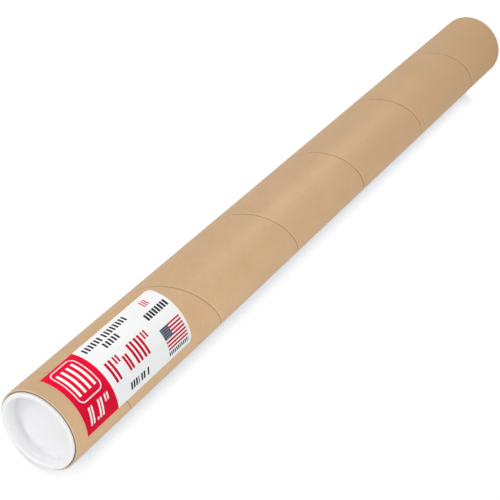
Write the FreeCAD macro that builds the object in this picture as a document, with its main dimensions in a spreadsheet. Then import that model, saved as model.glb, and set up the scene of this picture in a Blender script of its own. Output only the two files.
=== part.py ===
import FreeCAD, Part
import math
import os
import Sketcher

# A spiral-wound cardboard mailing tube that stands on one capped end. Lengths are in millimetres.
# The bottom plug's flange stands on Z = 0, the tube's axis is Z, and the label faces -Y.

doc = FreeCAD.newDocument("mailing_tube")

# Driving sizes: name, value, what it is
SIZES = [
    ("tube_length", 635.0, "cut length of the cardboard tube"),
    ("bore_diameter", 50.8, "inside diameter of the tube"),
    ("tube_wall", 3.3, "thickness of the wound wall"),
    ("seam_pitch", 104.7, "rise of the outer ply's seam in one turn"),
    ("seam_from_end", 34.9, "top end of the tube to the seam's first crossing of the front line"),
    ("seam_width", 0.5, "gap between two turns of the outer ply"),
    ("ply_thickness", 0.4, "thickness of the outer ply, which is the seam's depth"),
    ("flange_lip", 1.6, "how far a plug's flange reaches past the bore, on the radius"),
    ("flange_thickness", 2.1, "thickness of a plug's flange"),
    ("flange_round", 0.5, "rounding of the flange's outer rim"),
    ("plug_depth", 7.6, "length of a plug's cup behind its flange"),
    ("plug_wall", 1.6, "thickness of the cup's wall"),
    ("plug_floor", 1.5, "thickness of the cup's floor"),
    ("plug_fit", 0.15, "gap between the cup and the bore, all round"),
    ("plug_taper", 0.2, "how far the cup's wall leans in from flange to floor"),
    ("mouth_step", 0.35, "how much wider the cup is at its mouth, on the radius"),
    ("mouth_depth", 2.9, "depth of that wide mouth from the flange's face"),
    ("cup_round", 1.5, "rounding between the cup's wall and floor, outside"),
    ("label_length", 111.0, "label, along the tube"),
    ("label_width", 49.6, "label, round the tube"),
    ("label_thickness", 0.12, "thickness of the label's paper"),
    ("label_glue", 0.03, "thickness of the glue under the label"),
    ("label_from_end", 10.4, "top end of the tube to the label"),
    ("label_corner", 4.0, "rounding of the label's two lower corners"),
]

sheet = doc.addObject("Spreadsheet::Sheet", "sizes")
for row, (name, value, note) in enumerate(SIZES, 1):
    sheet.set(f"A{row}", name)
    sheet.set(f"B{row}", str(value))
    sheet.set(f"C{row}", note)
    sheet.setAlias(f"B{row}", name)
doc.recompute()


class Size:
    """A number and the spreadsheet formula that gives it, so that what uses it can be bound to the sheet."""

    def __init__(self, value, formula):
        self.value = float(value)
        self.formula = formula

    def joined(self, other, sign, value):
        return Size(value, f"({self.formula} {sign} {other.formula})")

    def __add__(self, other):
        other = as_size(other)
        return self.joined(other, "+", self.value + other.value)

    def __sub__(self, other):
        other = as_size(other)
        return self.joined(other, "-", self.value - other.value)

    def __mul__(self, other):
        other = as_size(other)
        return self.joined(other, "*", self.value * other.value)

    def __truediv__(self, other):
        other = as_size(other)
        return self.joined(other, "/", self.value / other.value)

    def __neg__(self):
        return Size(-self.value, f"(0 - {self.formula})")


def as_size(x):
    return x if isinstance(x, Size) else Size(x, str(x))


def size(name):
    return Size(sheet.get(name), f"sizes.{name}")


def whole_above(x):
    return Size(math.ceil(x.value), f"ceil({x.formula})")


def origin_feature(body, role):
    return next(f for f in body.Origin.OriginFeatures if f.Role == role)


def outline(body, name, role, corners):
    """A closed outline of straight edges on an origin plane. Each corner is two Sizes, across and up."""
    sketch = body.newObject("Sketcher::SketchObject", name)
    sketch.AttachmentSupport = [(origin_feature(body, role), "")]
    sketch.MapMode = "FlatFace"
    points = [FreeCAD.Vector(across.value, up.value, 0) for across, up in corners]
    count = len(points)
    for i in range(count):
        sketch.addGeometry(Part.LineSegment(points[i], points[(i + 1) % count]))
    for i in range(count):
        sketch.addConstraint(Sketcher.Constraint("Coincident", i, 2, (i + 1) % count, 1))
    for i, corner in enumerate(corners):
        for kind, place in zip(("DistanceX", "DistanceY"), corner):
            index = sketch.addConstraint(Sketcher.Constraint(kind, -1, 1, i, 1, place.value))
            sketch.setExpression(f"Constraints[{index}]", place.formula)
    return sketch


def turned(body, name, sketch, degrees=Size(360, "360")):
    """The outline turned about Z, half to each side of its plane."""
    turn = body.newObject("PartDesign::Revolution", name)
    turn.Profile = sketch
    turn.ReferenceAxis = (sketch, ["V_Axis"])
    turn.Midplane = True
    turn.setExpression("Angle", degrees.formula)
    doc.recompute()
    return turn


def edges_where(shape, wanted):
    """The names of the edges that the test picks."""
    return [f"Edge{i}" for i, edge in enumerate(shape.Edges, 1) if wanted(edge)]


def rounded(body, name, base, edges, radius):
    """The picked edges of a feature, rounded."""
    fillet = body.newObject("PartDesign::Fillet", name)
    fillet.Base = (base, edges)
    fillet.setExpression("Radius", radius.formula)
    doc.recompute()
    return fillet


bore_radius = size("bore_diameter") / 2
tube_radius = bore_radius + size("tube_wall")
tube_bottom = size("flange_thickness")
tube_top = tube_bottom + size("tube_length")
plug_depth = size("plug_depth")


def make_tube():
    """The wound tube: a plain wall with the outer ply's seam running round it as a shallow groove."""
    body = doc.addObject("PartDesign::Body", "tube")
    wall = outline(body, "tube_section", "XZ_Plane", [
        (bore_radius, tube_bottom),
        (tube_radius, tube_bottom),
        (tube_radius, tube_top),
        (bore_radius, tube_top),
    ])
    turned(body, "tube_wall_turned", wall)
    pitch = size("seam_pitch")
    turns = whole_above(size("tube_length") / pitch) + 1
    first = tube_top - size("seam_from_end") - pitch * (turns - 1)
    half_gap = size("seam_width") / 2
    outside = -(tube_radius + size("ply_thickness"))
    seam_floor = -(tube_radius - size("ply_thickness"))
    gap = outline(body, "seam_section", "YZ_Plane", [
        (outside, first - half_gap),
        (seam_floor, first - half_gap),
        (seam_floor, first + half_gap),
        (outside, first + half_gap),
    ])
    seam = body.newObject("PartDesign::SubtractiveHelix", "seam")
    seam.Profile = gap
    seam.ReferenceAxis = (gap, ["V_Axis"])
    seam.Mode = 1
    seam.setExpression("Pitch", pitch.formula)
    seam.setExpression("Turns", turns.formula)
    doc.recompute()
    return body


def make_plug(name):
    """A moulded cup plug with its flange face on Z = 0 and its cup rising above it."""
    body = doc.addObject("PartDesign::Body", name)
    flange = size("flange_thickness")
    flange_radius = bore_radius + size("flange_lip")
    cup_radius = bore_radius - size("plug_fit")
    foot_radius = cup_radius - size("plug_taper")
    wall = size("plug_wall")
    inner_radius = cup_radius - wall
    mouth_radius = inner_radius + size("mouth_step")
    mouth = size("mouth_depth")
    foot = flange + plug_depth
    floor = foot - size("plug_floor")
    centre = Size(0, "0")
    section = outline(body, f"{name}_section", "XZ_Plane", [
        (mouth_radius, centre),
        (flange_radius, centre),
        (flange_radius, flange),
        (cup_radius, flange),
        (foot_radius, foot),
        (centre, foot),
        (centre, floor),
        (foot_radius - wall, floor),
        (inner_radius, mouth + size("mouth_step")),
        (mouth_radius, mouth),
    ])
    cup = turned(body, f"{name}_cup", section)

    def ring(radius, height):
        def is_it(edge):
            box = edge.BoundBox
            flat = abs(box.ZMax - height.value) < 1e-4 and abs(box.ZMin - height.value) < 1e-4
            return flat and abs(box.XMax - radius.value) < 1e-3
        return is_it

    rim = rounded(body, f"{name}_rim_round", cup, edges_where(cup.Shape, ring(flange_radius, centre)),
                  size("flange_round"))
    outside = rounded(body, f"{name}_foot_round", rim, edges_where(rim.Shape, ring(foot_radius, foot)),
                      size("cup_round"))
    rounded(body, f"{name}_floor_round", outside,
            edges_where(outside.Shape, ring(foot_radius - wall, floor)), size("cup_round") - wall / 2)
    return body


def make_bottom_plug():
    return make_plug("bottom_plug")


def make_top_plug():
    """The same plug turned over, its cup hanging in the top of the tube."""
    body = make_plug("top_plug")
    body.Placement.Rotation = FreeCAD.Rotation(FreeCAD.Vector(1, 0, 0), 180)
    body.setExpression("Placement.Base.z", (tube_top + size("flange_thickness")).formula)
    return body


def corner_outline(body, name, radius, bottom, degrees):
    """What is outside a rounded corner, drawn flat on the plane that faces the corner's own centre."""
    sketch = body.newObject("Sketcher::SketchObject", name)
    sketch.AttachmentSupport = [(origin_feature(body, "XZ_Plane"), "")]
    sketch.MapMode = "FlatFace"
    sketch.AttachmentOffset = FreeCAD.Placement(FreeCAD.Vector(), FreeCAD.Rotation(FreeCAD.Vector(0, 1, 0), 1))
    sketch.setExpression("AttachmentOffset.Rotation.Angle", degrees.formula)
    beyond = (radius * 2).value
    centre = bottom + radius
    below = bottom - radius
    corners = [(radius.value, centre.value), (beyond, centre.value), (beyond, below.value),
               (0, below.value), (0, bottom.value)]
    points = [FreeCAD.Vector(across, up, 0) for across, up in corners]
    for start, end in zip(points, points[1:]):
        sketch.addGeometry(Part.LineSegment(start, end))
    circle = Part.Circle(FreeCAD.Vector(0, centre.value, 0), FreeCAD.Vector(0, 0, 1), radius.value)
    arc = sketch.addGeometry(Part.ArcOfCircle(circle, -math.pi / 2, 0))
    for line in range(arc):
        if line + 1 < arc:
            sketch.addConstraint(Sketcher.Constraint("Coincident", line, 2, line + 1, 1))
        sketch.addConstraint(Sketcher.Constraint("Vertical" if line % 2 else "Horizontal", line))
    sketch.addConstraint(Sketcher.Constraint("Coincident", arc - 1, 2, arc, 1))
    sketch.addConstraint(Sketcher.Constraint("Coincident", arc, 2, 0, 1))
    sketch.addConstraint(Sketcher.Constraint("PointOnObject", arc, 3, -2))
    sketch.addConstraint(Sketcher.Constraint("PointOnObject", arc - 1, 1, -2))
    driven = [
        (Sketcher.Constraint("DistanceY", -1, 1, arc, 3, centre.value), centre),
        (Sketcher.Constraint("Radius", arc, radius.value), radius),
        (Sketcher.Constraint("DistanceX", -1, 1, 1, 1, beyond), radius * 2),
        (Sketcher.Constraint("DistanceY", -1, 1, 1, 1, centre.value), centre),
        (Sketcher.Constraint("DistanceY", -1, 1, 1, 2, below.value), below),
    ]
    for constraint, place in driven:
        index = sketch.addConstraint(constraint)
        sketch.setExpression(f"Constraints[{index}]", place.formula)
    return sketch


def make_label():
    """A paper label pressed round the tube, with its two lower corners rounded."""
    body = doc.addObject("PartDesign::Body", "label")
    inside = tube_radius + size("label_glue")
    outside = inside + size("label_thickness")
    top = tube_top - size("label_from_end")
    bottom = top - size("label_length")
    section = outline(body, "label_section", "YZ_Plane", [
        (-outside, bottom),
        (-inside, bottom),
        (-inside, top),
        (-outside, top),
    ])
    to_degrees = Size(180 / math.pi, "(180 / pi)")
    angle = size("label_width") / inside * to_degrees
    turned(body, "label_paper", section, angle)
    corner = size("label_corner")
    corner_angle = angle / 2 - corner / inside * to_degrees
    trim = body.newObject("PartDesign::Pocket", "label_corner_trim")
    trim.Profile = corner_outline(body, "corner_section", corner, bottom, corner_angle)
    trim.Type = "ThroughAll"
    trim.Midplane = True
    doc.recompute()
    both = body.newObject("PartDesign::Mirrored", "label_corners")
    both.Originals = [trim]
    both.MirrorPlane = (origin_feature(body, "YZ_Plane"), [""])
    body.Tip = both
    doc.recompute()
    return body


pieces = [make_tube(), make_label(), make_top_plug(), make_bottom_plug()]
for piece in pieces:
    piece.Label = piece.Name
doc.recompute()

for thing in doc.Objects:
    if "Invalid" in thing.State or "Error" in thing.State:
        raise RuntimeError(f"{thing.Name} failed: {thing.State}")
for piece in pieces:
    if piece.Shape.isNull() or not piece.Shape.isValid() or len(piece.Shape.Solids) != 1:
        raise RuntimeError(f"{piece.Label} isn't one valid solid")

os.makedirs("parts", exist_ok=True)
for piece in pieces:
    piece.Shape.exportStep(f"parts/{piece.Label}.step")
    box = piece.Shape.BoundBox
    print(f"{piece.Label}: {piece.Shape.Volume:.1f} mm3, X {box.XMin:.2f} to {box.XMax:.2f}, "
          f"Y {box.YMin:.2f} to {box.YMax:.2f}, Z {box.ZMin:.2f} to {box.ZMax:.2f}")
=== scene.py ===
# %% [markdown]
# A cardboard mailing tube, standing on one capped end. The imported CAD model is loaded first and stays
# the frame for everything here: each new piece takes the place of the CAD node that it dresses. The near end
# in the picture, which has the label, is the upper one. Left and right are as seen from the front, which
# faces -Y.
# %% Load the frame
import math

import bmesh
import bpy
from mathutils import Matrix, Quaternion, Vector


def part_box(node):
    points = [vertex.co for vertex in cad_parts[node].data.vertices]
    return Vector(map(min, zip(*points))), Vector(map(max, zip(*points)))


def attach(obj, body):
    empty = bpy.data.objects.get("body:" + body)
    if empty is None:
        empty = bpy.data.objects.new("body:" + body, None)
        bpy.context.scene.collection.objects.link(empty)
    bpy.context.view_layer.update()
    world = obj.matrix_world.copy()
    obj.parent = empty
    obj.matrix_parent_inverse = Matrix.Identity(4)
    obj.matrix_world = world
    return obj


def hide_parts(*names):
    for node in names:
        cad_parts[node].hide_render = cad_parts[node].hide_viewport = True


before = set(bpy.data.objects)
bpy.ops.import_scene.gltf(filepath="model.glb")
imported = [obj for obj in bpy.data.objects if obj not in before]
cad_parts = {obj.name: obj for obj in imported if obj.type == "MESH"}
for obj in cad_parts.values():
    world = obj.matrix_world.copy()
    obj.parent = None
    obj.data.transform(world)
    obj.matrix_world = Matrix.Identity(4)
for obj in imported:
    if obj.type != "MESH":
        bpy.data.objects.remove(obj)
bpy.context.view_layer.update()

MM = 0.001
tube_low, tube_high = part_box("tube")
tube_radius = tube_high.x
tube_bottom = tube_low.z
tube_top = tube_high.z
print(f"tube: {tube_radius * 2 / MM:.1f} mm across, {(tube_top - tube_bottom) / MM:.1f} mm long")

# %% [markdown]
# A spiral-wound tube has sizes of its own that a box doesn't give: its wall, its plies, and how far the
# seam climbs in one turn. They are named once here and every piece works from them. The seam is first met
# at the front of the tube, 34.9 mm below its top, and everything round is made in the same even steps.
# %% Sizes of the winding
wall = 3.3 * MM
ply = 0.4 * MM
bore_radius = tube_radius - wall
seam_pitch = 104.7 * MM
seam_gap = 0.5 * MM
seam_front = tube_top - 34.9 * MM
front = -math.pi / 2
steps_around = 144
merge_distance = 1e-7
print(f"bore: {bore_radius * 2 / MM:.1f} mm, outer ply: {(seam_pitch - seam_gap) / MM:.1f} mm along it")

# %% [markdown]
# Each mesh becomes an object at the origin, with its place in its vertices. A piece also rides on a CAD body
# and stands for a CAD node, so one helper does all of that for every piece. Faces that meet at less than the
# given angle are shaded as one curve, and steeper corners stay crisp.
# %% Helpers that turn a bmesh into an object or a piece
def new_object(name, bm, materials):
    mesh = bpy.data.meshes.new(name)
    bm.to_mesh(mesh)
    bm.free()
    for material in materials:
        mesh.materials.append(material)
    made = bpy.data.objects.new(name, mesh)
    bpy.context.scene.collection.objects.link(made)
    return made


def finished_piece(name, bm, body, node, materials, smooth_under=35):
    piece = new_object(name, bm, materials)
    piece.data.shade_smooth()
    piece.data.set_sharp_from_angle(angle=math.radians(smooth_under))
    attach(piece, body)
    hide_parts(node)
    print(f"{name}: {len(piece.data.polygons)} faces")
    return piece


# %% [markdown]
# Materials are built from nodes. Most of these helpers add one node and return its output, so that a
# material below reads like the sum that it is. A value is either a number or another node's output.
# %% Helpers for material nodes
def feed(tree, socket, value):
    if isinstance(value, bpy.types.NodeSocket):
        tree.links.new(value, socket)
    else:
        socket.default_value = value


def maths(tree, operation, *values):
    node = tree.nodes.new("ShaderNodeMath")
    node.operation = operation
    for socket, value in zip(node.inputs, values):
        feed(tree, socket, value)
    return node.outputs["Value"]


def vectors(tree, operation, *values):
    node = tree.nodes.new("ShaderNodeVectorMath")
    node.operation = operation
    for socket, value in zip(node.inputs, values):
        feed(tree, socket, value)
    return node.outputs["Value" if operation == "LENGTH" else "Vector"]


def scaled(tree, value, share):
    return maths(tree, "MULTIPLY", value, share)


def apart(tree, place):
    """The x, y and z of a place."""
    node = tree.nodes.new("ShaderNodeSeparateXYZ")
    feed(tree, node.inputs[0], place)
    return node.outputs["X"], node.outputs["Y"], node.outputs["Z"]


def mixed(tree, factor, first, second):
    """A mix of two colours. Its sockets go by number, because the node has others of the same names."""
    node = tree.nodes.new("ShaderNodeMix")
    node.data_type = "RGBA"
    feed(tree, node.inputs[0], factor)
    feed(tree, node.inputs[6], first)
    feed(tree, node.inputs[7], second)
    return node.outputs[2]


def noise(tree, vector, size, detail=3.0, roughness=0.5):
    """Noise whose clouds are about size across, in metres."""
    node = tree.nodes.new("ShaderNodeTexNoise")
    feed(tree, node.inputs["Vector"], vector)
    node.inputs["Scale"].default_value = 1 / size
    node.inputs["Detail"].default_value = detail
    node.inputs["Roughness"].default_value = roughness
    return node.outputs["Fac"]


def spread(tree, value, low, high, to_low=0.0, to_high=1.0):
    """The value's range low to high stretched to another range, and held there."""
    node = tree.nodes.new("ShaderNodeMapRange")
    feed(tree, node.inputs["Value"], value)
    for name, number in (("From Min", low), ("From Max", high), ("To Min", to_low), ("To Max", to_high)):
        node.inputs[name].default_value = number
    return node.outputs["Result"]


def object_place(tree):
    return tree.nodes.new("ShaderNodeTexCoord").outputs["Object"]


def open_sky(tree, reach):
    """How much of the sky over a place is open, when only what is within reach can hide it."""
    node = tree.nodes.new("ShaderNodeAmbientOcclusion")
    node.samples = 8
    node.inputs["Distance"].default_value = reach
    return node.outputs["AO"]


def new_material(name, roughness, specular=0.5):
    material = bpy.data.materials.new(name)
    material.use_nodes = True
    shader = material.node_tree.nodes["Principled BSDF"]
    shader.inputs["Roughness"].default_value = roughness
    shader.inputs["Specular IOR Level"].default_value = specular
    return material, material.node_tree, shader


def bumped(tree, shader, height, strength, distance):
    node = tree.nodes.new("ShaderNodeBump")
    node.inputs["Strength"].default_value = strength
    node.inputs["Distance"].default_value = distance
    feed(tree, node.inputs["Height"], height)
    tree.links.new(node.outputs["Normal"], shader.inputs["Normal"])


def colour(red, green, blue):
    """A screen colour from 0 to 255 as the linear colour that a shader takes."""
    def linear(c):
        c /= 255
        return c / 12.92 if c <= 0.04045 else ((c + 0.055) / 1.055) ** 2.4

    return linear(red), linear(green), linear(blue), 1.0


# %% [markdown]
# The paper of a wound tube changes with its place on the spiral: it darkens towards the seam, where glue has
# crept out, and is rubbed pale along the lip beside it. A picture of that would have to be drawn. Here the
# spiral is worked out from the angle and the height instead, so it stays sharp and follows the seam's pitch.
# The paper also carries painted shade: it is deeper and yellower towards the far end, and most on the left.
# %% Where a point lies on the spiral
LINE_HALF_WIDTH = 0.7 * MM
LIP_BELOW = 1.5 * MM
DRIFT_LOW = 50 * MM
DRIFT_HIGH = 500 * MM
DRIFT_HALF_WIDTH = 20 * MM
DRIFT_ON_RIGHT = 0.35


def height_above_seam(tree, place):
    """How far above the nearest seam below it a point of the tube lies, in metres."""
    x, y, z = apart(tree, place)
    angle = maths(tree, "ARCTAN2", y, x)
    turned = maths(tree, "DIVIDE", maths(tree, "SUBTRACT", angle, front), 2 * math.pi)
    climbed = maths(tree, "DIVIDE", maths(tree, "SUBTRACT", z, seam_front), seam_pitch)
    return scaled(tree, maths(tree, "FRACT", maths(tree, "SUBTRACT", climbed, turned)), seam_pitch)


def line_at(tree, height, centre):
    """1 on a line at one height above the seam, falling to 0 at its edges."""
    away = maths(tree, "ABSOLUTE", maths(tree, "SUBTRACT", height, centre))
    return spread(tree, away, 0.0, LINE_HALF_WIDTH, 1.0, 0.0)


def painted_shade_drift(tree, place):
    """Painted shade on the paper: 0 near the label, rising towards the far end, and most on the left."""
    x, _, z = apart(tree, place)
    along = spread(tree, z, DRIFT_LOW, DRIFT_HIGH, 1.0, 0.0)
    across = spread(tree, x, -DRIFT_HALF_WIDTH, DRIFT_HALF_WIDTH, 1.0, DRIFT_ON_RIGHT)
    return scaled(tree, along, across)


# %% [markdown]
# Kraft paper is brown because its fibres are unbleached. Seen close it is a felt of long fibres, and from
# further off it is cloudy, with a few dark specks of bark. Noise at three sizes gives the clouds, the felt
# and the fibres. The fibres' space is squashed along the tube, which draws them out that way. The middles of
# large Voronoi cells give the specks, which noise would smear. The inside of the tube has a plainer and
# rougher paper, made by the same function.
# %% Kraft paper
CLOUD_SIZE = 30 * MM
FELT_SIZE = 4 * MM
FIBRE_SIZE = 0.5 * MM
FIBRE_SQUASH = (1.0, 1.0, 0.35)
SPECKS_APART = 14 * MM
# painted shade: the paper's colour where the light dims towards the far end
FAR_END_PAINTED_SHADE = colour(196, 157, 112)
BARK = colour(120, 84, 52)
GLUE_STAIN = colour(140, 98, 58)
RUBBED_LIP = colour(232, 206, 178)


def bark_specks(tree, place):
    cells = tree.nodes.new("ShaderNodeTexVoronoi")
    feed(tree, cells.inputs["Vector"], place)
    cells.inputs["Scale"].default_value = 1 / SPECKS_APART
    return spread(tree, cells.outputs["Distance"], 0.02, 0.035, 0.55, 0.0)


def kraft_paper(name, pale, deep, roughness):
    material, tree, shader = new_material(name, roughness, specular=0.35)
    place = object_place(tree)
    clouds = noise(tree, place, CLOUD_SIZE, detail=2.0)
    felt = noise(tree, place, FELT_SIZE, detail=6.0, roughness=0.65)
    squashed = vectors(tree, "MULTIPLY", place, FIBRE_SQUASH)
    fibres = noise(tree, squashed, FIBRE_SIZE, detail=4.0, roughness=0.7)
    tone = maths(tree, "ADD", scaled(tree, clouds, 0.4), scaled(tree, felt, 0.4))
    tone = maths(tree, "ADD", tone, scaled(tree, fibres, 0.2))
    paper = mixed(tree, spread(tree, tone, 0.35, 0.65), deep, pale)
    # painted shade, deeper and yellower towards the far end and on the left
    paper = mixed(tree, scaled(tree, painted_shade_drift(tree, place), 0.9), paper, FAR_END_PAINTED_SHADE)
    paper = mixed(tree, bark_specks(tree, place), paper, BARK)
    height = height_above_seam(tree, place)
    glue = maths(tree, "MAXIMUM", line_at(tree, height, 0.0), line_at(tree, height, seam_pitch))
    paper = mixed(tree, scaled(tree, glue, 0.35), paper, GLUE_STAIN)
    lip = line_at(tree, height, seam_pitch - LIP_BELOW)
    paper = mixed(tree, scaled(tree, lip, 0.3), paper, RUBBED_LIP)
    tree.links.new(paper, shader.inputs["Base Color"])
    relief = maths(tree, "ADD", fibres, scaled(tree, felt, 0.6))
    bumped(tree, shader, relief, strength=0.25, distance=0.05 * MM)
    return material


kraft_face = kraft_paper("kraft_face", colour(213, 177, 137), colour(203, 166, 124), roughness=0.5)
kraft_liner = kraft_paper("kraft_liner", colour(196, 163, 128), colour(180, 146, 110), roughness=0.75)
print("kraft papers:", kraft_face.name, kraft_liner.name)

# %% [markdown]
# Where the saw cuts the wound wall, its plies show as rings of paler, rougher board. Rings follow the
# distance from the tube's axis, so that distance drives them. Under a plug's flange the board lies in a
# narrow gap, and painted shade darkens it there. An Ambient Occlusion node finds the gap, so the painted
# shade goes when the plug is drawn out.
# %% Cut board
RINGS_APART = 0.55 * MM
CREVICE_SHADE_REACH = 1.5 * MM


def cut_board():
    material, tree, shader = new_material("cut_board", roughness=0.85, specular=0.25)
    place = object_place(tree)
    radius = vectors(tree, "LENGTH", vectors(tree, "MULTIPLY", place, (1.0, 1.0, 0.0)))
    rings = maths(tree, "SINE", scaled(tree, radius, 2 * math.pi / RINGS_APART))
    grain = noise(tree, place, 0.4 * MM, detail=4.0)
    tone = maths(tree, "ADD", scaled(tree, rings, 0.3), grain)
    board = mixed(tree, spread(tree, tone, 0.2, 0.9), colour(212, 184, 152), colour(240, 220, 194))
    # painted shade: darkens the board in the narrow gap under a plug's flange
    crevice_shade = spread(tree, open_sky(tree, CREVICE_SHADE_REACH), 0.55, 0.9, 1.0, 0.0)
    feed(tree, shader.inputs["Base Color"], mixed(tree, crevice_shade, board, colour(92, 74, 58)))
    bumped(tree, shader, tone, strength=0.4, distance=0.1 * MM)
    return material


cut_edge = cut_board()
print("cut board:", cut_edge.name)

# %% [markdown]
# The wall is wound as the real one is. A ribbon's cross-section is set at the front of the tube and spun
# round its axis while each step also lifts it, which a spin does with its dvec. The ribbon runs past both
# ends, as on the winding machine, and the saw cuts it: two bisect planes, whose cuts are filled. A plain
# cylinder with a drawn line would be less work, but its seam would have no depth and no worn edges.
# %% Helpers for winding
def section_loop(bm, corners):
    """A closed loop of edges from corners given as radius and height, at the front of the tube."""
    verts = [bm.verts.new((0, -radius, height)) for radius, height in corners]
    return verts + [bm.edges.new(pair) for pair in zip(verts, verts[1:] + verts[:1])]


def saw(bm, height, up):
    """Cuts away what is past a height, and closes the cut with board."""
    geometry = bm.verts[:] + bm.edges[:] + bm.faces[:]
    cut = bmesh.ops.bisect_plane(bm, geom=geometry, plane_co=(0, 0, height), plane_no=(0, 0, up),
                                 clear_outer=True)
    edges = [e for e in cut["geom_cut"] if isinstance(e, bmesh.types.BMEdge)]
    bmesh.ops.triangle_fill(bm, edges=edges, use_beauty=True, normal=(0, 0, up))


def wound_ply(inner, outer, edge_round):
    """A ribbon of paper wound along the whole tube and sawn to its length."""
    bm = bmesh.new()
    below = math.ceil((seam_front - tube_bottom) / seam_pitch) + 1
    turns = below + 2
    steps = turns * steps_around
    low = seam_front - below * seam_pitch + seam_gap / 2
    high = low + seam_pitch - seam_gap
    section = section_loop(bm, [
        (inner, low), (outer - edge_round, low), (outer, low + edge_round),
        (outer, high - edge_round), (outer - edge_round, high), (inner, high),
    ])
    bmesh.ops.spin(bm, geom=section, cent=(0, 0, 0), axis=(0, 0, 1), dvec=(0, 0, seam_pitch / steps_around),
                   angle=turns * 2 * math.pi, steps=steps, use_duplicate=False)
    saw(bm, tube_top, 1)
    saw(bm, tube_bottom, -1)
    bmesh.ops.remove_doubles(bm, verts=bm.verts[:], dist=merge_distance)
    bmesh.ops.recalc_face_normals(bm, faces=bm.faces[:])
    return bm


# %% [markdown]
# The face ply and the liner are wound that way. The plies between them show only at the cut ends, so they
# are one core: a ring section spun once round, with a shallow groove at each glue line.
# %% The core between the plies
def core_plies(inner, outer, count, groove):
    bm = bmesh.new()
    step = (outer - inner) / count
    top = [(inner, tube_top)]
    bottom = [(inner, tube_bottom)]
    for i in range(1, count):
        radius = inner + i * step
        for end, height, depth in ((top, tube_top, -groove), (bottom, tube_bottom, groove)):
            end.extend([(radius - groove, height), (radius, height + depth), (radius + groove, height)])
    top.append((outer, tube_top))
    bottom.append((outer, tube_bottom))
    section = section_loop(bm, bottom + top[::-1])
    bmesh.ops.spin(bm, geom=section, cent=(0, 0, 0), axis=(0, 0, 1), angle=2 * math.pi, steps=steps_around,
                   use_merge=True, use_duplicate=False)
    bmesh.ops.recalc_face_normals(bm, faces=bm.faces[:])
    return bm


# %% [markdown]
# Glue makes the plies one piece, so they are joined into one mesh. Its faces then need three finishes: one
# that looks up or down is cut board, and any other has the paper of its ply. The face ply's edges are the
# most worn, because hands and other parcels rub the outside.
# %% Join the plies into the tube
FACE, LINER, CUT = range(3)
CUT_SLOPE = 0.7
CORE_PLIES = 5
FACE_WEAR = 0.3 * MM
LINER_WEAR = 0.02 * MM
GLUE_GROOVE = 0.06 * MM


def joined(parts):
    """One bmesh from several, each given with the material of its long faces; ends get the cut board."""
    whole = bmesh.new()
    for part, material in parts:
        for face in part.faces:
            face.material_index = CUT if abs(face.normal.z) > CUT_SLOPE else material
        mesh = bpy.data.meshes.new("part")
        part.to_mesh(mesh)
        part.free()
        whole.from_mesh(mesh)
        bpy.data.meshes.remove(mesh)
    return whole


tube_plies = joined([
    (wound_ply(tube_radius - ply, tube_radius, FACE_WEAR), FACE),
    (core_plies(bore_radius + ply, tube_radius - ply, CORE_PLIES, GLUE_GROOVE), FACE),
    (wound_ply(bore_radius, bore_radius + ply, LINER_WEAR), LINER),
])
finished_piece("wound_tube", tube_plies, "tube", "tube", [kraft_face, kraft_liner, cut_edge])

# %% [markdown]
# The label is paper with a clay coat: bright, nearly matt, and printed. Its print reads the label's own UV
# map, stretched to millimetres, with x down the tube from the label's upper edge and y round it. Every
# printed shape is a rounded box: a point is inside when it is nearer to a smaller box than the rounding.
# Shapes made of sums stay sharp from close by, and need no picture file.
# %% Helpers for print
label_low, label_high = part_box("label")
label_length = label_high.z - label_low.z
label_width = 49.6 * MM
label_radius = -label_low.y
label_paper = 0.12 * MM
label_corner = 4 * MM


def box_mask(tree, place, left, right, low, high, corner=0.15):
    """1 inside a rounded box and 0 outside it. Sizes are in millimetres."""
    centre = ((left + right) / 2, (low + high) / 2, 0)
    inside = ((right - left) / 2 - corner, (high - low) / 2 - corner, 0)
    away = vectors(tree, "ABSOLUTE", vectors(tree, "SUBTRACT", place, centre))
    beyond = vectors(tree, "MAXIMUM", vectors(tree, "SUBTRACT", away, inside), (0, 0, 0))
    return maths(tree, "LESS_THAN", vectors(tree, "LENGTH", beyond), corner)


def box_line(tree, place, left, right, low, high, corner, line):
    """1 on the line just inside the edge of a rounded box."""
    outer = box_mask(tree, place, left, right, low, high, corner)
    inner = box_mask(tree, place, left + line, right - line, low + line, high - line, corner - line)
    return maths(tree, "SUBTRACT", outer, inner)


def slanted(tree, place, lean):
    """The place sheared, so that boxes drawn with it lean over."""
    x, y, _ = apart(tree, place)
    whole = tree.nodes.new("ShaderNodeCombineXYZ")
    feed(tree, whole.inputs["X"], maths(tree, "SUBTRACT", x, scaled(tree, y, lean)))
    feed(tree, whole.inputs["Y"], y)
    return whole.outputs["Vector"]


def repeats(tree, value, start, pitch, share):
    """1 on the first share of every pitch, counted from start."""
    part = maths(tree, "FRACT", maths(tree, "DIVIDE", maths(tree, "SUBTRACT", value, start), pitch))
    return maths(tree, "LESS_THAN", part, share)


def both(tree, *masks):
    product = masks[0]
    for mask in masks[1:]:
        product = scaled(tree, product, mask)
    return product


def either(tree, *masks):
    largest = masks[0]
    for mask in masks[1:]:
        largest = maths(tree, "MAXIMUM", largest, mask)
    return largest


# %% [markdown]
# The print is fields of colour and plain bars: a red end with a rounded frame round four white bars, rows of
# dark bars, tall red bars, and a striped flag with dots in its corner. Every row of bars is one box, cut up
# by a mask that repeats along it. So a row takes one line of a table, in millimetres: from and to along the
# tube, from and to round it, how far apart its bars are, and what share of that is bar. Some rows lean over.
# %% Rows of bars on the label
RED_END = 30.6
LEAN = 0.22

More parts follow.
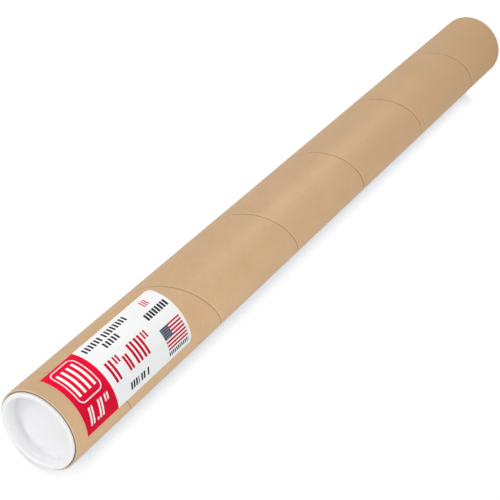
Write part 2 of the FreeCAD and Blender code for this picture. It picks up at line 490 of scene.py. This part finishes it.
WHITE_ROWS = [
    (6.8, 22.8, 23.8, 43.4, 4.6, 0.45),
]
WHITE_LEANING_ROWS = [
    (3.2, 7.2, 4.8, 15.8, 2.6, 0.6),
    (9.6, 11.1, 4.8, 6.6, 2.6, 0.6),
    (12.2, 16.9, 4.8, 15.8, 2.6, 0.6),
    (18.7, 22.8, 11.2, 15.8, 2.4, 0.55),
]
DARK_ROWS = [
    (34.9, 51.6, 41.4, 46.1, 3.0, 0.54),
    (54.4, 77.6, 41.4, 46.1, 3.0, 0.54),
    (47.6, 61.4, 35.2, 39.8, 3.0, 0.54),
    (86.0, 108.6, 30.8, 35.9, 2.9, 0.68),
    (86.4, 107.8, 2.5, 5.5, 1.9, 0.62),
]
DARK_LEANING_ROWS = [
    (43.9, 52.6, 4.0, 8.8, 2.6, 0.64),
    (54.6, 59.2, 4.0, 8.8, 2.6, 0.64),
    (61.4, 63.2, 4.0, 8.8, 2.6, 0.64),
]
RED_ROWS = [
    (35.8, 41.5, 14.8, 29.2, 3.6, 0.6),
    (43.6, 48.0, 23.8, 29.2, 2.8, 0.55),
    (49.9, 54.7, 14.8, 25.4, 2.8, 0.7),
    (58.1, 63.8, 14.8, 29.2, 3.6, 0.6),
    (65.7, 71.4, 14.8, 29.2, 3.6, 0.6),
    (73.1, 77.5, 23.8, 29.2, 2.8, 0.55),
    (94.0, 99.4, 39.6, 45.4, 2.0, 0.5),
]


def row_masks(tree, place, along, rows):
    """1 on every bar of the rows."""
    masks = []
    for left, right, low, high, pitch, share in rows:
        box = box_mask(tree, place, left, right, low, high)
        masks.append(both(tree, box, repeats(tree, along, left, pitch, share)))
    return either(tree, *masks)


row_tables = (WHITE_ROWS, WHITE_LEANING_ROWS, DARK_ROWS, DARK_LEANING_ROWS, RED_ROWS)
print("rows of bars:", sum(len(rows) for rows in row_tables))

# %% [markdown]
# Ink lies on paper, so each mask mixes one ink over what is there already, and the red end comes last, with
# its white marks left as bare paper. The label curves away from the light, and painted shade makes paper and
# inks deeper towards its left edge. One tone, worked out from the place round the tube with faint clouds,
# drives the painted shade of paper and inks.
# %% The label's print
FRAME_BOX = (4.2, 25.8, 19.2, 47.6)
FRAME_CORNER = 4.5
FRAME_LINE = 0.8
FLAG = (86.8, 108.2, 6.6, 21.8)
FLAG_CORNER = (86.8, 95.3, 13.7, 21.8)
STRIPES = (6.6, 2.34, 0.55)
DOTS_ALONG = (87.4, 1.4, 0.35)
DOTS_ROUND = (14.2, 1.5, 0.35)
# painted shade across the label runs between these two places, in millimetres round it
SHADE_DEEPEST_UP_TO = 12.0
SHADE_GONE_FROM = 34.0


def label_print():
    material, tree, shader = new_material("label_print", roughness=0.5, specular=0.08)
    uv = tree.nodes.new("ShaderNodeUVMap")
    uv.uv_map = "print"
    place = vectors(tree, "MULTIPLY", uv.outputs["UV"], (label_length / MM, label_width / MM, 0))
    x, y, _ = apart(tree, place)
    leaning = slanted(tree, place, LEAN)
    lean_x, _, _ = apart(tree, leaning)

    red_field = maths(tree, "LESS_THAN", x, RED_END)
    frame_line = box_line(tree, place, *FRAME_BOX, FRAME_CORNER, FRAME_LINE)
    white_marks = either(tree, frame_line, row_masks(tree, place, x, WHITE_ROWS),
                         row_masks(tree, leaning, lean_x, WHITE_LEANING_ROWS))
    dark_marks = either(tree, row_masks(tree, place, x, DARK_ROWS),
                        row_masks(tree, leaning, lean_x, DARK_LEANING_ROWS))
    flag = box_mask(tree, place, *FLAG)
    flag_corner = box_mask(tree, place, *FLAG_CORNER)
    stripes = both(tree, flag, repeats(tree, y, *STRIPES))
    dots = both(tree, flag_corner, repeats(tree, x, *DOTS_ALONG), repeats(tree, y, *DOTS_ROUND))

    clouds = scaled(tree, noise(tree, place, 6.0, detail=4.0), 0.2)
    # painted shade, deeper towards the label's left edge, plus faint random clouds
    tone = maths(tree, "ADD", scaled(tree, spread(tree, y, SHADE_DEEPEST_UP_TO, SHADE_GONE_FROM), 0.8), clouds)
    # paper, red and dark ink each run from a painted-shade colour to their lit colour
    paper = mixed(tree, tone, colour(227, 228, 229), colour(255, 255, 255))
    red = mixed(tree, tone, colour(200, 0, 44), colour(246, 0, 54))
    thin_red = mixed(tree, 0.4, red, colour(140, 12, 40))
    dark = mixed(tree, tone, colour(38, 42, 50), colour(50, 54, 62))
    printed = mixed(tree, dark_marks, paper, dark)
    red_marks = either(tree, row_masks(tree, place, x, RED_ROWS), stripes)
    printed = mixed(tree, red_marks, printed, thin_red)
    printed = mixed(tree, flag_corner, printed, colour(76, 80, 94))
    printed = mixed(tree, dots, printed, colour(176, 178, 188))
    printed = mixed(tree, red_field, printed, mixed(tree, white_marks, red, paper))
    tree.links.new(printed, shader.inputs["Base Color"])
    bumped(tree, shader, noise(tree, place, 0.3, detail=5.0), strength=0.12, distance=0.03 * MM)
    return material


# %% [markdown]
# The sheet itself starts flat: one face, two bevelled corners, then cut into strips so that it can bend.
# Its UV map is taken while it is flat, so the print can't stretch, and after that every vertex is carried
# round the tube.
# %% The label's sheet
STRIPS = 40


def label_sheet():
    bm = bmesh.new()
    middle = Vector((0, 0, (label_low.z + label_high.z) / 2))
    upright = Matrix.LocRotScale(middle, Quaternion((1, 0, 0), math.pi / 2), (label_width, label_length, 1))
    bmesh.ops.create_grid(bm, x_segments=1, y_segments=1, size=0.5, matrix=upright)
    corners = [v for v in bm.verts if v.co.z < middle.z]
    bmesh.ops.bevel(bm, geom=corners, offset=label_corner, segments=8, profile=0.5, affect="VERTICES",
                    material=-1)
    for i in range(1, STRIPS):
        across = label_width * (i / STRIPS - 0.5)
        bmesh.ops.bisect_plane(bm, geom=bm.verts[:] + bm.edges[:] + bm.faces[:], plane_co=(across, 0, 0),
                               plane_no=(1, 0, 0))
    layer = bm.loops.layers.uv.new("print")
    for face in bm.faces:
        for loop in face.loops:
            flat = loop.vert.co
            loop[layer].uv = ((label_high.z - flat.z) / label_length, flat.x / label_width + 0.5)
    for vert in bm.verts:
        angle = front + vert.co.x / label_radius
        vert.co.x = label_radius * math.cos(angle)
        vert.co.y = label_radius * math.sin(angle)
    bmesh.ops.solidify(bm, geom=bm.faces[:], thickness=label_paper)
    return bm


label = finished_piece("label_sheet", label_sheet(), "tube", "label", [label_print()])
label_reach = max(math.hypot(v.co.x, v.co.y) for v in label.data.vertices)
print(f"label reaches {label_reach / MM:.2f} mm from the axis, and the CAD label {label_radius / MM:.2f} mm")

# %% [markdown]
# The plugs are moulded polyethylene: white, slightly waxy, with a soft gloss. Light goes a little way into
# it, so it has some subsurface scattering, and the mould leaves it very slightly uneven.
# %% White plastic
def white_plastic():
    material, tree, shader = new_material("white_plastic", roughness=0.28, specular=0.5)
    shader.inputs["Subsurface Weight"].default_value = 0.15
    shader.inputs["Subsurface Radius"].default_value = (1.0, 1.0, 1.0)
    shader.inputs["Subsurface Scale"].default_value = 1.0 * MM
    place = object_place(tree)
    flow = noise(tree, place, 12 * MM, detail=2.0)
    tone = mixed(tree, flow, colour(236, 236, 238), colour(241, 241, 242))
    tree.links.new(tone, shader.inputs["Base Color"])
    uneven = maths(tree, "ADD", flow, scaled(tree, noise(tree, place, 0.4 * MM), 0.03))
    bumped(tree, shader, uneven, strength=0.3, distance=0.2 * MM)
    return material


plastic = white_plastic()
print("plastic:", plastic.name)

# %% [markdown]
# A plug is a cup with a flange that stops it at the tube's end. Its sizes are measured from the flange's
# face: the flange, the wider mouth, the wall that tapers a little to the foot, and the floor between them.
# %% Sizes of a plug
flange_step = 1.6 * MM
flange_radius = bore_radius + flange_step
flange = 2.1 * MM
clearance = 0.15 * MM
cup_radius = bore_radius - clearance
taper = 0.2 * MM
foot_radius = cup_radius - taper
plastic_wall = 1.6 * MM
inner_radius = cup_radius - plastic_wall
mouth_step = 0.35 * MM
mouth_radius = inner_radius + mouth_step
mouth = 2.9 * MM
reach = 7.6 * MM
foot = flange + reach
floor_thickness = 1.5 * MM
cup_floor = foot - floor_thickness
print(f"plug: flange {flange_radius * 2 / MM:.1f} mm across, mouth {mouth_radius * 2 / MM:.1f} mm across")

# %% [markdown]
# A plug is turned from one half-section, like work on a lathe, because all of it is round. Sharp rings are
# then bevelled, each by its own amount, as the mould's own corners are. The lower plug is made where it
# stands, and the upper one is the same cup turned over.
# %% Turn the plugs
SAME_PLACE = 1e-6


def ring_edges(bm, radius, height):
    """The ring of edges at one radius and height."""
    def near(vert):
        r = math.hypot(vert.co.x, vert.co.y)
        return abs(r - radius) < SAME_PLACE and abs(vert.co.z - height) < SAME_PLACE

    return [e for e in bm.edges if near(e.verts[0]) and near(e.verts[1])]


def turned_plug():
    """A plug with its flange's face on Z = 0 and its cup rising above it."""
    bm = bmesh.new()
    corners = [
        (0, cup_floor), (foot_radius - plastic_wall, cup_floor), (inner_radius, mouth + mouth_step),
        (mouth_radius, mouth), (mouth_radius, 0), (flange_radius, 0), (flange_radius, flange),
        (cup_radius, flange), (foot_radius, foot), (0, foot),
    ]
    verts = [bm.verts.new((0, -radius, height)) for radius, height in corners]
    edges = [bm.edges.new(pair) for pair in zip(verts, verts[1:])]
    bmesh.ops.spin(bm, geom=verts + edges, cent=(0, 0, 0), axis=(0, 0, 1), angle=2 * math.pi,
                   steps=steps_around, use_merge=True, use_duplicate=False)
    bmesh.ops.remove_doubles(bm, verts=bm.verts[:], dist=merge_distance)
    bmesh.ops.recalc_face_normals(bm, faces=bm.faces[:])
    roundings = [
        (flange_radius, 0, 0.5), (flange_radius, flange, 0.3), (mouth_radius, 0, 0.6),
        (mouth_radius, mouth, 0.12), (inner_radius, mouth + mouth_step, 0.2),
        (foot_radius - plastic_wall, cup_floor, 0.9), (foot_radius, foot, 1.5),
    ]
    for radius, height, amount in roundings:
        bmesh.ops.bevel(bm, geom=ring_edges(bm, radius, height), offset=amount * MM, segments=4,
                        profile=0.5, affect="EDGES", material=-1)
    return bm


def finished_plug(name, bm, node):
    finished_piece(name, bm, node, node, [plastic], smooth_under=50)


finished_plug("bottom_cup", turned_plug(), "bottom_plug")
upper_cup = turned_plug()
turn_over = Matrix.Translation((0, 0, tube_top + flange)) @ Matrix.Rotation(math.pi, 4, "X")
bmesh.ops.transform(upper_cup, matrix=turn_over, verts=upper_cup.verts[:])
finished_plug("top_cup", upper_cup, "top_plug")

# %% [markdown]
# The floor is a wide plain sheet. It is a little brighter to the camera than the lamps alone would make it,
# so that it stays white and still takes the tube's soft shadow. The glow is added for camera rays only, so
# that it puts no more light on the tube.
# %% Floor
STAGE_HALF_WIDTH = 6.0
FLOOR_GLOW = 0.45


def stage_sheet(name, matrix, material):
    """A wide flat sheet, level until the matrix places it."""
    bm = bmesh.new()
    bmesh.ops.create_grid(bm, x_segments=1, y_segments=1, size=STAGE_HALF_WIDTH, matrix=matrix)
    print(f"{name}: {STAGE_HALF_WIDTH * 2:.0f} m wide")
    return new_object(name, bm, [material])


def floor_white():
    material, tree, shader = new_material("floor_white", roughness=0.9, specular=0.0)
    shader.inputs["Base Color"].default_value = (0.8, 0.8, 0.8, 1.0)
    glow = tree.nodes.new("ShaderNodeEmission")
    rays = tree.nodes.new("ShaderNodeLightPath")
    feed(tree, glow.inputs["Strength"], scaled(tree, rays.outputs["Is Camera Ray"], FLOOR_GLOW))
    total = tree.nodes.new("ShaderNodeAddShader")
    tree.links.new(shader.outputs["BSDF"], total.inputs[0])
    tree.links.new(glow.outputs["Emission"], total.inputs[1])
    tree.links.new(total.outputs["Shader"], tree.nodes["Material Output"].inputs["Surface"])
    return material


floor = stage_sheet("floor", Matrix.Identity(4), floor_white())

# %% [markdown]
# In the photograph the tube rests against a white surface along its whole length, lit so brightly that only
# a narrow shadow is left on one side, and none past the near end. Here a backdrop stands right behind the
# tube. An Ambient Occlusion node tells how much of each place's sky the tube hides, and that alone shades
# the white, but not right above the floor, which hides some of the sky too. Only the backdrop's front
# shows, and only to the camera, so it changes no light on the tube.
# %% Backdrop
BACKDROP_GAP = 0.5 * MM
BACKDROP_GLOW = 1.02
SHADOW_REACH = 32 * MM
MOST_HIDDEN = 0.4
SHADOW_FALL = 5.0
SHADOW_SHARE = 0.23
SHADOW_TONE = colour(150, 156, 170)
FLOOR_FADE = (10 * MM, 28 * MM)
TOP_FADE = (tube_top - 35 * MM, tube_top + 5 * MM)
SIDE_FADE = 10 * MM
WHITE = (1.0, 1.0, 1.0, 1.0)


def shadow_beside_tube(tree):
    """How much shadow a place of the backdrop has, from 0 to the shadow's share."""
    x, _, z = apart(tree, object_place(tree))
    hidden = maths(tree, "SUBTRACT", 1.0, open_sky(tree, SHADOW_REACH))
    depth = maths(tree, "POWER", maths(tree, "DIVIDE", hidden, MOST_HIDDEN), SHADOW_FALL)
    beside = scaled(tree, spread(tree, z, *FLOOR_FADE), spread(tree, z, *TOP_FADE, 1.0, 0.0))
    shaded_side = spread(tree, x, -SIDE_FADE, SIDE_FADE, SHADOW_SHARE, 0.0)
    return scaled(tree, scaled(tree, depth, beside), shaded_side)


def backdrop_white():
    material = bpy.data.materials.new("backdrop_white")
    material.use_nodes = True
    tree = material.node_tree
    glow = tree.nodes.new("ShaderNodeEmission")
    feed(tree, glow.inputs["Color"], mixed(tree, shadow_beside_tube(tree), WHITE, SHADOW_TONE))
    glow.inputs["Strength"].default_value = BACKDROP_GLOW
    rays = tree.nodes.new("ShaderNodeLightPath")
    side = tree.nodes.new("ShaderNodeNewGeometry")
    clear = tree.nodes.new("ShaderNodeBsdfTransparent")
    shown = tree.nodes.new("ShaderNodeMixShader")
    facing = maths(tree, "SUBTRACT", 1.0, side.outputs["Backfacing"])
    feed(tree, shown.inputs["Fac"], scaled(tree, rays.outputs["Is Camera Ray"], facing))
    tree.links.new(clear.outputs["BSDF"], shown.inputs[1])
    tree.links.new(glow.outputs["Emission"], shown.inputs[2])
    tree.links.new(shown.outputs["Shader"], tree.nodes["Material Output"].inputs["Surface"])
    return material


behind = Matrix.Translation((0, tube_radius + BACKDROP_GAP, 0)) @ Matrix.Rotation(math.pi / 2, 4, "X")
backdrop = stage_sheet("backdrop", behind, backdrop_white())
print(f"backdrop: {(tube_radius + BACKDROP_GAP) / MM:.1f} mm behind the tube's axis")

# %% [markdown]
# The light is a bright room: most of it comes evenly from all round. Five round lamps give the rest, and
# their shares were fitted to tones measured in the photograph. A broad one in front and one high up behind
# light the whole. One close on the left and one high on the right light the tube's sides and shade the wall
# inside the cup. A small low one is seen only as a soft sheen along the tube's front.
# %% World and lamps
def even_world(strength):
    world = bpy.data.worlds.new("bright_room")
    bpy.context.scene.world = world
    world.use_nodes = True
    tree = world.node_tree
    rays = tree.nodes.new("ShaderNodeLightPath")
    seen = maths(tree, "MAXIMUM", rays.outputs["Is Camera Ray"], rays.outputs["Is Transmission Ray"])
    background = tree.nodes["Background"]
    background.inputs["Color"].default_value = WHITE
    feed(tree, background.inputs["Strength"], spread(tree, seen, 0, 1, strength, 1.0))


def soft_lamp(name, lit, way, distance, size, level):
    """A round lamp that stands off from a lit place, and lights white paper there to about the level."""
    lamp = bpy.data.lights.new(name, "AREA")
    lamp.shape = "DISK"
    lamp.size = size
    lamp.energy = level * (math.pi * distance) ** 2
    holder = bpy.data.objects.new(name, lamp)
    holder.location = lit + distance * Vector(way).normalized()
    holder.rotation_mode = "QUATERNION"
    holder.rotation_quaternion = (lit - holder.location).to_track_quat("-Z", "Y")
    bpy.context.scene.collection.objects.link(holder)
    print(f"{name}: {lamp.energy:.1f} W")
    return holder


even_world(strength=0.70)
near_end = Vector((0, 0, 0.6))
middle = Vector((0, 0, 0.42))
soft_lamp("front", near_end, way=(0, -1, 0.25), distance=1.1, size=0.7, level=0.21)
soft_lamp("left_and_near", near_end, way=(-0.8, -0.4, 0.2), distance=0.7, size=0.5, level=0.23)
soft_lamp("right_and_high", near_end, way=(0.75, 0, 0.65), distance=2.0, size=0.5, level=0.24)
soft_lamp("above", near_end, way=(0.3, 0.4, 0.86), distance=2.0, size=0.5, level=0.115)
sheen = soft_lamp("sheen", middle, way=(0.22, -0.66, -0.71), distance=0.45, size=0.24, level=0.28)
sheen.visible_diffuse = False
sheen.visible_camera = False

# %% [markdown]
# The camera stands where a fit of the photograph's outlines puts it: in front, above the tube's upper end,
# rolled so that the tube lies across the picture from lower left to upper right.
# %% Camera
EYE = Vector((15.43, -679.98, 1096.17)) * MM
AIM = Vector((-4.21, -0.12, 400.80)) * MM
ROLL = -131.96
LENS = 97.2


def rolled_camera(place, aim, roll, lens):
    camera = bpy.data.objects.new("camera", bpy.data.cameras.new("camera"))
    camera.data.lens = lens
    camera.data.sensor_width = 36
    camera.location = place
    camera.rotation_mode = "QUATERNION"
    turn = Quaternion((0, 0, 1), math.radians(roll))
    camera.rotation_quaternion = (aim - place).to_track_quat("-Z", "Y") @ turn
    bpy.context.scene.collection.objects.link(camera)
    bpy.context.scene.camera = camera
    print(f"camera: {(aim - place).length:.2f} m from what it looks at")


rolled_camera(EYE, AIM, ROLL, LENS)

# %% [markdown]
# The picture shows plain screen colours, so that a colour comes out about as it is written.
bpy.context.scene.view_settings.view_transform = "Standard"
